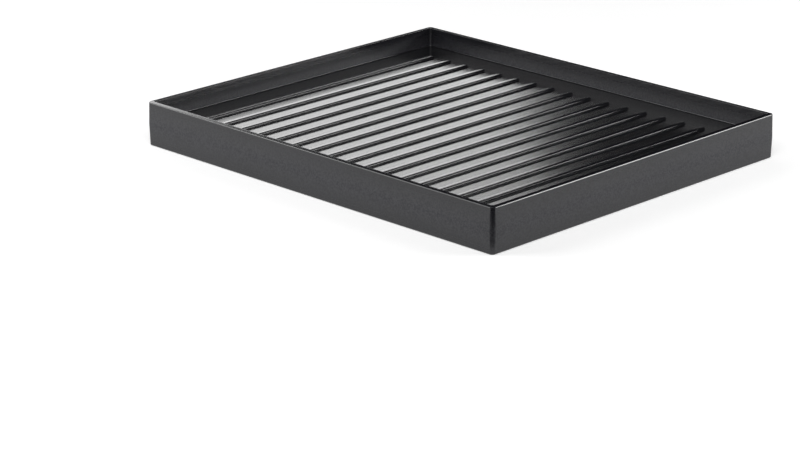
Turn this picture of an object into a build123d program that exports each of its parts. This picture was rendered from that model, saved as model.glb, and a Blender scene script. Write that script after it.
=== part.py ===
from build123d import *
from math import radians, tan
import os

# Reversible grill plate: one casting with a ribbed tray on one face and a smooth tray on the other.
# Millimetres. The plate rests on its smooth side's rim at z = 0, ribbed side up, ribs along X.

# Overall outline, measured at the parting line halfway up
plate_width = 300.0
plate_length = 350.0
corner_radius = 3.3

# Section through the wall and the web
tray_depth = 14.75
web_thickness = 4.0
rim_width = 3.5
outer_draft = 1.5
inner_draft = 3.0
inner_corner_radius = 2.5
rim_outer_radius = 0.6
rim_inner_radius = 0.5
floor_fillet = 0.8

# Ribs on the upper tray floor
rib_count = 16
rib_foot_width = 5.2
rib_height = 1.8
rib_draft = 12.0
rib_corner_radius = 2.0
rib_edge_radius = 1.1
rib_end_gap = 28.2
rib_back_gap = 30.6
rib_front_gap = 43.4

plate_height = 2 * tray_depth + web_thickness
parting_height = plate_height / 2
upper_floor = tray_depth + web_thickness
rim_inset = parting_height * tan(radians(outer_draft)) + rim_width

opening_width = plate_width - 2 * rim_inset
opening_length = plate_length - 2 * rim_inset

rib_length = plate_width - 2 * rib_end_gap
rib_field = plate_length - rib_back_gap - rib_front_gap
rib_pitch = rib_field / (rib_count - 1)
rib_field_centre = (rib_front_gap - rib_back_gap) / 2

upper_rim_plane = Plane.XY.offset(plate_height)
lower_rim_plane = Plane.XY.rotated((180, 0, 0))


def flat_faces():
    """Every face of the plate that lies parallel to the ground, lowest first."""
    return grill_plate.faces().filter_by(Plane.XY).sort_by(Axis.Z)


with BuildPart() as grill_plate:
    # Solid block, widest at the parting line and drafted towards both rims
    with BuildSketch(Plane.XY.offset(parting_height)):
        RectangleRounded(plate_width, plate_length, corner_radius)
    extrude(amount=parting_height, both=True, taper=outer_draft)
    fillet(flat_faces()[0].edges() + flat_faces()[-1].edges(), rim_outer_radius)

    # One tray in each face, which leaves the web between them
    for rim_plane in (upper_rim_plane, lower_rim_plane):
        with BuildSketch(rim_plane):
            RectangleRounded(opening_width, opening_length, inner_corner_radius)
        extrude(amount=-tray_depth, taper=inner_draft, mode=Mode.SUBTRACT)
    fillet(flat_faces()[1].edges() + flat_faces()[-2].edges(), floor_fillet)
    rims = (flat_faces()[0], flat_faces()[-1])
    fillet([edge for rim in rims for edge in rim.inner_wires()[0].edges()], rim_inner_radius)

    # Low drafted ribs across the upper tray
    with BuildSketch(Plane.XY.offset(upper_floor)):
        with Locations((0, rib_field_centre)):
            with GridLocations(0, rib_pitch, 1, rib_count):
                RectangleRounded(rib_length, rib_foot_width, rib_corner_radius)
    extrude(amount=rib_height, taper=rib_draft)
    rib_tops = flat_faces().filter_by_position(
        Axis.Z, upper_floor + rib_height / 2, upper_floor + 1.5 * rib_height
    )
    fillet(rib_tops.edges(), rib_edge_radius)

grill_plate.part.label = "grill_plate"
os.makedirs("parts", exist_ok=True)
export_step(grill_plate.part, "parts/grill_plate.step")
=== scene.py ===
import math

import bmesh
import bpy
import numpy as np
from mathutils import Matrix, Vector


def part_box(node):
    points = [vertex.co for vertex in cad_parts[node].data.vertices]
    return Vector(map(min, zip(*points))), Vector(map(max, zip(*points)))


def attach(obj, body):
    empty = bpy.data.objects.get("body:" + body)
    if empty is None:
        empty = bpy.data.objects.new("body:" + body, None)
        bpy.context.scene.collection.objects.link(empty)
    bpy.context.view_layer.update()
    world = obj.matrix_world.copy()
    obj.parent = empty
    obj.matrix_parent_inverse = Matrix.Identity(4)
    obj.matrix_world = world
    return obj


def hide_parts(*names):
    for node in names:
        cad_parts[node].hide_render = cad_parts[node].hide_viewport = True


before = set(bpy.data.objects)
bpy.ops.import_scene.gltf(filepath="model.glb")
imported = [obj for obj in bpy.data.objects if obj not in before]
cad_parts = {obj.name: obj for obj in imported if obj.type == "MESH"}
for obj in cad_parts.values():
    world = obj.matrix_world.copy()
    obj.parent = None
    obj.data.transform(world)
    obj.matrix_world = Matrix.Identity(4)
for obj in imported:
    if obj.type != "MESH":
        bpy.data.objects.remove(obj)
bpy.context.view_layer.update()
plateLow, plateHigh = (np.array(corner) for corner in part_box("grill_plate"))
print("frame loaded:", ", ".join(sorted(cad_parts)))


# Surfaces: loops round the plate or round a rib, joined row by row

# Line through the corners, each one rounded: its arc touches both runs at radius * tan(turn / 2)
# from the corner and turns about the centre in even steps.
def roundedLine(corners, radii, steps):
    corners, radii = np.asarray(corners, float), np.asarray(radii, float)[:, None]
    runs = np.diff(corners, axis=0)
    runs /= np.linalg.norm(runs, axis=1, keepdims=True)
    before, after = runs[:-1], runs[1:]
    turn = np.arctan2(before[:, 0] * after[:, 1] - before[:, 1] * after[:, 0], (before * after).sum(1))
    start = corners[1:-1] - before * radii * np.tan(abs(turn) / 2)[:, None]
    centre = start + radii * np.sign(turn)[:, None] * np.stack([-before[:, 1], before[:, 0]], 1)
    angle = turn[:, None] * np.linspace(0, 1, steps + 1)
    armX, armY = (start - centre).T[:, :, None]
    arcX = centre[:, :1] + armX * np.cos(angle) - armY * np.sin(angle)
    arcY = centre[:, 1:] + armX * np.sin(angle) + armY * np.cos(angle)
    arcs = np.stack([arcX, arcY], -1).reshape(-1, 2)
    return np.concatenate([corners[:1], arcs, corners[-1:]])


# Closed path round a rectangle with rounded corners, in shares: for each point the place of its
# arc's centre from -1 to 1, and the way it faces. A point is centre * (half - radius) + facing * radius.
# It runs up the right side, along the back, down the left side and along the front.
def pathShares(alongX, alongY, arcSteps):
    quarterTurn = math.pi / 2
    arc = np.linspace(0, quarterTurn, arcSteps + 1)[1:-1]
    centreX, centreY, facing = [], [], []
    for sign in (1, -1):
        sides = ((sign + 0 * alongY, alongY[::sign]), (alongX[::-sign], sign + 0 * alongX))
        for quarter, (x, y) in enumerate(sides):
            turn = (quarter + 1 - sign) * quarterTurn
            centreX += [x, np.full(arc.size, sign * (1 - 2 * quarter))]
            centreY += [y, np.full(arc.size, sign)]
            facing += [np.full(x.size, turn), arc + turn]
    return tuple(np.concatenate(part) for part in (centreX, centreY, facing))


# Rows of loops: row i is a rounded rectangle of half sizes halfX[i], halfY[i] and radius[i] at height[i]
def loopRows(halfX, halfY, radius, height, shares, centre=(0, 0)):
    centreX, centreY, facing = shares
    column = lambda values: np.asarray(values, float)[:, None]
    radius = column(radius)
    x = centre[0] + centreX * (column(halfX) - radius) + np.cos(facing) * radius
    y = centre[1] + centreY * (column(halfY) - radius) + np.sin(facing) * radius
    return np.stack([x, y, np.broadcast_to(column(height), x.shape)], -1)


# Flat sheet on the lines xLines by yLines
def flatSheet(xLines, yLines, height):
    x, y = np.meshgrid(xLines, yLines)
    return np.stack([x, y, np.full_like(x, height)], -1)


# Quads between neighbouring rows and columns of a grid; a closed one joins its last column to its first
def gridFaces(rows, columns, closed):
    index = np.arange(rows * columns).reshape(rows, columns)
    if closed:
        index = np.concatenate([index, index[:, :1]], 1)
    return np.stack([index[:-1, :-1], index[:-1, 1:], index[1:, 1:], index[1:, :-1]], -1).reshape(-1, 4)


weldDistance = 2e-6  # metres


# One closed mesh from several grids, each (points, closed, edge share, wall share): doubles are merged,
# which closes the seams and poles, and the normals are turned outwards
def weldedMesh(name, grids):
    points, faces, edges, walls, first = [], [], [], [], 0
    for grid, closed, edge, wall in grids:
        rows, columns = grid.shape[:2]
        points.append(grid.reshape(-1, 3))
        faces.append(gridFaces(rows, columns, closed) + first)
        edges.append(np.broadcast_to(np.reshape(edge, (-1, 1)), (rows, columns)).ravel())
        walls.append(np.broadcast_to(np.reshape(wall, (-1, 1)), (rows, columns)).ravel())
        first += rows * columns
    mesh = bpy.data.meshes.new(name)
    mesh.from_pydata(np.concatenate(points), [], np.concatenate(faces))
    for label, values in (("edge", edges), ("wall", walls)):
        layer = mesh.attributes.new(label, "FLOAT", "POINT")
        layer.data.foreach_set("value", np.concatenate(values).astype(np.float32))
    shape = bmesh.new()
    shape.from_mesh(mesh)
    bmesh.ops.remove_doubles(shape, verts=shape.verts, dist=weldDistance)
    bmesh.ops.recalc_face_normals(shape, faces=shape.faces)
    for face in shape.faces:
        face.smooth = True
    openEdges = sum(not edge.is_manifold for edge in shape.edges)
    shape.to_mesh(mesh)
    shape.free()
    piece = bpy.data.objects.new(name, mesh)
    bpy.context.scene.collection.objects.link(piece)
    piece.modifiers.new("evenShading", "WEIGHTED_NORMAL")
    triangles = sum(len(face.vertices) - 2 for face in mesh.polygons)
    print(f"{name}: {triangles} triangles, {openEdges} open edges")
    return piece


# The plate: wall, rim, two trays and the ribs, as one casting

plateShape = {
    "trayDepth": 0.01475,
    "rimWidth": 0.0035,
    "rimFall": 0.00032,  # the rim's top falls outwards from a narrow flat land
    "landWidth": 0.0006,
    "landRound": 0.0040,
    "outerDraft": 1.5,  # degrees from upright, both ways from the parting line
    "innerDraft": 3.0,
    "outerCorner": 0.0033,  # in plan, at the parting line
    "innerCorner": 0.0015,
    "facetHeight": 0.00055,  # relieved outer edge of the rim, leaning back by facetLean degrees
    "facetLean": 21.0,
    "facetRound": 0.0002,
    "rimInnerRound": 0.0005,
    "footRound": 0.0008,  # where a tray's wall meets its floor
    "flatMargin": 0.0020,  # flat floor that the corner loops run out on
    "smoothFrom": 0.1,  # share of the foot round's height where its smooth coat is full
    "sandyFrom": (0.65, 0.94),  # and between which it turns into the wall's sandy coat
    "roundSteps": 7,
    "cornerSteps": 8,
    "alongSteps": 26,
}
ribShape = {
    "count": 16,
    "footWidth": 0.0052,
    "height": 0.0018,
    "draft": 12.0,
    "endGap": 0.0282,  # from a rib's end to the plate's side
    "backGap": 0.0306,  # from the first rib's middle to the plate's back
    "frontGap": 0.0434,
    "planCorner": 0.0020,
    "topRound": 0.0011,
    "footRound": 0.0001,
    "footReach": 1.5,  # half widths of the foot, up to where the loops run on over the floor
    "smoothFrom": 0.2,  # share of the height where the sides' smooth coat is full
    "crownHalf": 0.5,  # share of the top's half width that is its crown
    "crownSmooth": 0.35,  # share of the smooth coat there
    "endSteps": 4,
    "roundSteps": 5,
}


def buildPlate(shape, ribs):
    halfX, halfY = (plateHigh - plateLow)[:2] / 2
    top, middle = plateHigh[2], (plateLow[2] + plateHigh[2]) / 2
    floor = top - shape["trayDepth"]
    slope = lambda angle: math.tan(math.radians(angle))
    facetFoot = top - shape["rimFall"] - shape["facetHeight"]
    wallEnd = (facetFoot - middle) * slope(shape["outerDraft"])
    rimEdge = wallEnd + shape["facetHeight"] * slope(shape["facetLean"])
    opening = (top - middle) * slope(shape["outerDraft"]) + shape["rimWidth"]
    land = opening - shape["landWidth"]
    foot = opening + shape["trayDepth"] * slope(shape["innerDraft"])
    footEnd = foot + shape["footRound"]
    floorEdge = footEnd + shape["flatMargin"]
    alongX = np.linspace(-1, 1, shape["alongSteps"] + 1)
    endSteps = np.linspace(-1, 1, ribs["endSteps"] + 1)

    # Ribs: each fills a strip of the floor as wide as the pitch, its loops running out to the strip's edge
    insideX, insideY = halfX - floorEdge, halfY - floorEdge
    first, last = halfY - ribs["backGap"], ribs["frontGap"] - halfY
    middles = np.linspace(last, first, ribs["count"])
    halfPitch = (middles[1] - middles[0]) / 2
    footHalf = ribs["footWidth"] / 2
    topHalf = footHalf - ribs["height"] * slope(ribs["draft"])
    ribTop = floor + ribs["height"]
    ribLine = roundedLine(
        [(0, ribTop), (topHalf, ribTop), (footHalf, floor), (ribs["footReach"] * footHalf, floor)],
        [ribs["topRound"], ribs["footRound"]], ribs["roundSteps"])
    reach, ribHeight = ribLine.T
    endReach = halfX - ribs["endGap"] - footHalf
    topCorner = ribs["planCorner"] - (footHalf - topHalf)
    corner = np.interp(reach, [0, topHalf, footHalf], [0, topCorner, ribs["planCorner"]])
    ribEdge = np.interp(ribHeight, [floor, floor + ribs["smoothFrom"] * ribs["height"]], [0, 1])
    ribEdge = np.append(np.where(reach < ribs["crownHalf"] * topHalf, ribs["crownSmooth"], ribEdge), 0)
    shares = pathShares(alongX, endSteps, shape["cornerSteps"])
    ribRows = (
        np.append(endReach + reach, insideX), np.append(reach, halfPitch),
        np.append(corner, 0), np.append(ribHeight, floor))
    grids = [(loopRows(*ribRows, shares, centre=(0, y)), True, ribEdge, 0) for y in middles]

    # Floor beyond the first and the last strip, and the whole floor of the smooth side
    yLines = np.append((middles[:, None] + halfPitch * endSteps).ravel(), [-insideY, insideY])
    yLines = np.unique(np.round(yLines, 7))  # to 0.1 micrometre, so that lines of two strips count once
    xLines = alongX * insideX
    for pair in (yLines[:2], yLines[-2:]):
        grids.append((flatSheet(xLines, pair, floor), False, 0, 0))
    grids.append((flatSheet(xLines, yLines, 2 * middle - floor), False, 0, 0))

    # Wall: one line from the parting line up over the rim and down to the floor, and its mirror image
    # below. The rim falls outwards from a narrow flat land and ends in a small facet that leans back.
    half = roundedLine(
        [(0, middle), (wallEnd, facetFoot), (rimEdge, top - shape["rimFall"]), (land, top), (opening, top),
         (foot, floor), (floorEdge, floor)],
        [shape[name] for name in ("facetRound", "facetRound", "landRound", "rimInnerRound", "footRound")],
        shape["roundSteps"])
    inset, height = np.concatenate([half[::-1], half[1:] * (1, -1) + (0, 2 * middle)]).T
    outerRadius = shape["outerCorner"]
    corner = np.interp(
        inset,
        [0, rimEdge + shape["facetRound"], opening - shape["rimInnerRound"], opening, footEnd, floorEdge],
        [outerRadius, outerRadius - rimEdge - shape["facetRound"],
         shape["innerCorner"] + shape["rimInnerRound"], shape["innerCorner"], shape["innerCorner"], 0])

    # Shares of the finish. Edge: 1 from the facet's foot up, and in the lower part of the foot's round.
    # Wall: 1 on the rest of the upright faces. Both are 0 on the floors.
    rise = abs(height - middle)
    rimBand = np.interp(rise, [facetFoot - middle - shape["facetRound"], facetFoot - middle], [0, 1])
    footShare = (rise - (floor - middle)) / shape["footRound"]
    footBand = np.interp(footShare, [0, shape["smoothFrom"], *shape["sandyFrom"]], [0, 1, 1, 0])
    edge = rimBand + np.where(inset > opening, footBand, 0)
    isWall = np.interp(footShare, shape["sandyFrom"], [0, 1])
    isWall = np.where(inset > footEnd, 0, np.where(inset < opening, 1, isWall)) * (1 - rimBand)
    shares = pathShares(alongX, yLines / insideY, shape["cornerSteps"])
    grids.append((loopRows(halfX - inset, halfY - inset, corner, height, shares), True, edge, isWall))

    return weldedMesh("ribbed_and_smooth_casting", grids)


plate = buildPlate(plateShape, ribShape)
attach(plate, "root")
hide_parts("grill_plate")


# Finish: black baked coating, satin on the floors and sandy on the walls

class Wire:
    # One shader socket: sums, differences and products of it add their Math nodes
    def __init__(self, tree, socket=None):
        self.tree, self.socket = tree, socket

    # Any node: its settings first, then the values or wires of its sockets
    def node(self, kind, settings=(), sockets=(), output=0):
        made = self.tree.nodes.new(kind)
        for name, value in dict(settings).items():
            setattr(made, name, value)
        for name, value in dict(sockets).items():
            if isinstance(value, Wire):
                self.tree.links.new(value.socket, made.inputs[name])
            else:
                made.inputs[name].default_value = value
        return Wire(self.tree, made.outputs[output] if len(made.outputs) else None)

    def maths(self, operation, *values):
        return self.node("ShaderNodeMath", {"operation": operation}, enumerate(values))

    def __add__(self, other):
        return self.maths("ADD", self, other)

    def __sub__(self, other):
        return self.maths("SUBTRACT", self, other)

    def __rsub__(self, other):
        return self.maths("SUBTRACT", other, self)

    def __mul__(self, other):
        return self.maths("MULTIPLY", self, other)

    __radd__ = __add__

    # 0 below low, 1 above high, smooth between them
    def step(self, low, high):
        return self.node("ShaderNodeMapRange", {"interpolation_type": "SMOOTHSTEP"},
                         {"Value": self, "From Min": low, "From Max": high})

    def noise(self, scale, detail, roughness):
        return self.node("ShaderNodeTexNoise", {"noise_dimensions": "3D"},
                         {"Vector": self, "Scale": scale, "Detail": detail, "Roughness": roughness})

    def mixColour(self, first, second):
        return self.node("ShaderNodeMix", {"data_type": "RGBA"}, {0: self, 6: first, 7: second}, 2)


def newMaterial(name):
    material = bpy.data.materials.new(name)
    material.use_nodes = True
    material.node_tree.nodes.clear()
    return material, Wire(material.node_tree)


coating = {
    "floorColour": (0.0078, 0.0078, 0.0088, 1),
    "wallColour": (0.0015, 0.0015, 0.0045, 1),
    "sandColour": (0.0300, 0.0300, 0.0345, 1),  # grains of the walls
    "paleColour": (0.0165, 0.0165, 0.0235, 1),  # where the coat is thinner: edges, high spots
    "floorRoughness": 0.20,
    "edgeRoughness": 0.13,  # the coat lies smoothest on the rim, the ribs' sides and the wall's foot
    "wallRoughness": 0.54,
    "unevenness": 0.05,  # how far the roughness wanders
    "sandiness": 0.16,  # the same from grain to grain of the walls
    "edgePaleness": 0.30,
    "driftPaleness": 0.18,
    "speckPaleness": 0.35,
    "driftNoise": (16, 3, 0.5),  # patches per metre, detail, roughness
    "grainNoise": (850, 3, 0.65),
    "speckNoise": (510, 1, 0.5),
    "peelNoise": (900, 2, 0.4),
    "driftEnds": (0.35, 0.75),  # values of the noise where it starts to show and shows fully
    "grainEnds": (0.36, 0.64),
    "speckEnds": (0.68, 0.76),
    "palenessFull": 1.4,  # sum of the shares at which the coat is the pale colour
    "index": 1.5,  # of refraction
    "grainHeight": 0.000050,  # metres
    "floorGrain": 0.04,  # share of the walls' grain on the floors
    "peelHeight": 0.0000015,
}


# Colour: floor black, or on the walls grains between black and grey; then paler by shares of edge,
# drift and specks. Roughness: the floor's, moved to the wall's or the edge's by their shares, plus
# drift and sand about the noise's mean of 0.5. Relief: grain on the walls and a trace of it on the
# floors, plus orange peel on the floors.
def coatMaterial(values):
    material, start = newMaterial("bakedBlackCoat")
    place = start.node("ShaderNodeTexCoord", output="Object")
    edge = start.node("ShaderNodeAttribute", {"attribute_name": "edge"}, output="Fac")
    wall = start.node("ShaderNodeAttribute", {"attribute_name": "wall"}, output="Fac")

    drift = place.noise(*values["driftNoise"])
    grain = place.noise(*values["grainNoise"])
    peel = place.noise(*values["peelNoise"])
    specks = place.noise(*values["speckNoise"]).step(*values["speckEnds"])

    paleness = edge * values["edgePaleness"] + drift.step(*values["driftEnds"]) * values["driftPaleness"]
    paleness = paleness + specks * wall * values["speckPaleness"]
    sand = grain.step(*values["grainEnds"]).mixColour(values["wallColour"], values["sandColour"])
    colour = wall.mixColour(values["floorColour"], sand)
    colour = paleness.step(0, values["palenessFull"]).mixColour(colour, values["paleColour"])
    roughness = (
        values["floorRoughness"]
        + wall * (values["wallRoughness"] - values["floorRoughness"])
        + edge * (values["edgeRoughness"] - values["floorRoughness"])
        + (drift - 0.5) * values["unevenness"]
        + (grain - 0.5) * wall * values["sandiness"]
    )
    trace = values["floorGrain"]
    relief = grain * (wall * (1 - trace) + trace) * values["grainHeight"]
    relief = relief + peel * (1 - wall) * values["peelHeight"]
    bump = start.node("ShaderNodeBump", {}, {"Height": relief, "Distance": 1.0, "Strength": 1.0})
    shader = start.node(
        "ShaderNodeBsdfPrincipled", {},
        {"Base Color": colour, "Roughness": roughness, "Normal": bump, "IOR": values["index"]})
    start.node("ShaderNodeOutputMaterial", {}, {"Surface": shader})
    return material


plate.data.materials.append(coatMaterial(coating))
print("coating: floors, walls and edges")


# Studio: white ground, softboxes and fills, and black cloth and a card for the plate to mirror

studio = {
    "floorHalf": 6.0,
    "floorDrop": 0.0001,  # below the plate
    "floorColour": (0.86, 0.86, 0.86, 1),
    "floorRoughness": 0.9,
    "floorLift": (0.33, 0.33, 0.33, 1),  # shine near the plate
    "liftEnds": (0.45, 1.30),  # metres from the origin where the shine starts to grow and is full
    "ambient": (0.12, 0.12, 0.12, 1),
    "clothColour": (0.004, 0.004, 0.004, 1),
    "clothRadius": 3.2,
    "clothTurns": (-75, 155),  # headings from and to, degrees
    "clothRise": (0.5, 80),
    "cardRadius": 0.016,
    "cardTurns": (152, 300),
    "cardHeight": 0.045,
    "sheetRows": 13,
    "sheetColumns": 33,
}
softboxes = {  # centre, point aimed at, width, height, brightness
    "backLeftBox": ((0.05, 1.72, 0.725), (0.05, 0, 0.1), 3.80, 0.42, 3.4),
    "rightBox": ((1.10, -0.88, 0.32), (0, 0, 0.02), 0.80, 0.18, 17.0),
    "leftBox": ((-0.95, 0.95, 0.24), (0, 0, 0.02), 0.90, 0.26, 4.3),
    "frontKey": ((-1.15, -1.00, 1.75), (0, 0, 0), 1.40, 1.40, 3.7),
    "leftFill": ((-0.80, 0.50, 0.62), (-0.15, 0, 0), 0.50, 0.50, 4.6),
    "rightFill": ((0.50, -0.80, 0.62), (0, -0.15, 0), 0.50, 0.50, 3.6),
}


# 1 for rays from the camera and for rays mirrored or bent by an object, 0 for the light itself
def seenDirectly(start):
    kinds = ("Is Camera Ray", "Is Glossy Ray", "Is Transmission Ray")
    camera, glossy, bent = (start.node("ShaderNodeLightPath", output=kind) for kind in kinds)
    return start.maths("MAXIMUM", start.maths("MAXIMUM", camera, glossy), bent)


# Ground: a matt floor that also shines where it is seen, so that it reads white: by the lift near the
# plate, which keeps the shadow, and fully from the second of two distances on.
# Air: the ambient grey as a light, white where it is seen.
def buildStudio(values):
    material, start = newMaterial("whiteGround")
    place = start.node("ShaderNodeTexCoord", output="Object")
    distance = start.node("ShaderNodeVectorMath", {"operation": "LENGTH"}, {0: place}, "Value")
    lift = distance.step(*values["liftEnds"]).mixColour(values["floorLift"], (1, 1, 1, 1))
    shine = seenDirectly(start).mixColour((0, 0, 0, 1), lift)
    surface = start.node("ShaderNodeBsdfPrincipled", {}, {
        "Base Color": values["floorColour"], "Roughness": values["floorRoughness"],
        "Specular IOR Level": 0.0, "Emission Color": shine, "Emission Strength": 1.0})
    start.node("ShaderNodeOutputMaterial", {}, {"Surface": surface})
    lines = np.linspace(-values["floorHalf"], values["floorHalf"], values["sheetRows"])
    ground = flatSheet(lines, lines, plateLow[2] - values["floorDrop"])
    sheetObject("white_ground", ground, material)

    # The cloth is part of a sphere, behind and to the right; the card stands round the near corner
    material, start = newMaterial("blackCloth")
    surface = start.node("ShaderNodeBsdfDiffuse", {}, {"Color": values["clothColour"]})
    start.node("ShaderNodeOutputMaterial", {}, {"Surface": surface})
    rise = np.radians(np.linspace(*values["clothRise"], values["sheetRows"]))
    clothRows = (values["clothRadius"] * np.cos(rise), values["clothRadius"] * np.sin(rise))
    clothGrid = standingSheet((0, 0), values["clothTurns"], *clothRows, values["sheetColumns"])
    cloth = sheetObject("black_cloth", clothGrid, material)
    cardRows = ([values["cardRadius"]] * 2, [0, values["cardHeight"]])
    cardGrid = standingSheet(plateLow, values["cardTurns"], *cardRows, values["sheetColumns"])
    card = sheetObject("corner_card", cardGrid, material)
    for sheet in (cloth, card):
        sheet.visible_camera = sheet.visible_diffuse = sheet.visible_shadow = False

    world = bpy.data.worlds.new("studioAir")
    bpy.context.scene.world = world
    world.use_nodes = True
    world.node_tree.nodes.clear()
    start = Wire(world.node_tree)
    colour = seenDirectly(start).mixColour(values["ambient"], (1, 1, 1, 1))
    air = start.node("ShaderNodeBackground", {}, {"Color": colour, "Strength": 1.0})
    start.node("ShaderNodeOutputWorld", {}, {"Surface": air})


# Standing sheet round a point on the ground: one row for each radius and height, and its columns
# from one heading to another
def standingSheet(middle, turns, radii, heights, columns):
    turn = np.radians(np.linspace(*turns, columns))
    radii, heights = (np.asarray(values, float)[:, None] for values in (radii, heights))
    x, y = middle[0] + radii * np.cos(turn), middle[1] + radii * np.sin(turn)
    return np.stack([x, y, np.broadcast_to(heights, x.shape)], -1)


def sheetObject(name, grid, material):
    mesh = bpy.data.meshes.new(name)
    mesh.from_pydata(grid.reshape(-1, 3), [], gridFaces(*grid.shape[:2], False))
    mesh.materials.append(material)
    sheet = bpy.data.objects.new(name, mesh)
    bpy.context.scene.collection.objects.link(sheet)
    return sheet


def aimAt(thing, place, target):
    way = Vector(target) - Vector(place)
    thing.location = place
    thing.rotation_mode = "QUATERNION"
    thing.rotation_quaternion = way.to_track_quat("-Z", "Y")


# A lamp's energy is its brightness times pi times its area
def hangSoftboxes(boxes):
    for name, (place, target, width, height, brightness) in boxes.items():
        lamp = bpy.data.lights.new(name, "AREA")
        lamp.shape, lamp.size, lamp.size_y = "RECTANGLE", width, height
        lamp.energy = brightness * math.pi * width * height
        holder = bpy.data.objects.new(name, lamp)
        bpy.context.scene.collection.objects.link(holder)
        holder.visible_camera = False
        aimAt(holder, place, target)


buildStudio(studio)
hangSoftboxes(softboxes)
print("studio:", ", ".join(softboxes))


# Camera: where the photograph was taken from

cameraPlace = {
    "place": (-1.4054, -1.3427, 0.61516),
    "heading": 45.04,  # degrees clockwise from the plate's long way
    "tilt": 19.21,  # degrees below level
    "roll": -0.166,
    "lens": 124.5,
    "sensorWidth": 36.0,
    "clip": (0.05, 60),
}


def placeCamera(values):
    lens = bpy.data.cameras.new("photoCamera")
    lens.sensor_fit, lens.sensor_width, lens.lens = "HORIZONTAL", values["sensorWidth"], values["lens"]
    lens.clip_start, lens.clip_end = values["clip"]
    camera = bpy.data.objects.new("photoCamera", lens)
    bpy.context.scene.collection.objects.link(camera)
    turn = lambda angle, axis: Matrix.Rotation(math.radians(angle), 4, axis)
    camera.matrix_world = (
        Matrix.Translation(values["place"]) @ turn(-values["heading"], "Z")
        @ turn(90 - values["tilt"], "X") @ turn(values["roll"], "Z"))
    bpy.context.scene.camera = camera


placeCamera(cameraPlace)
bpy.context.scene.view_settings.view_transform = "Standard"
print("camera placed")
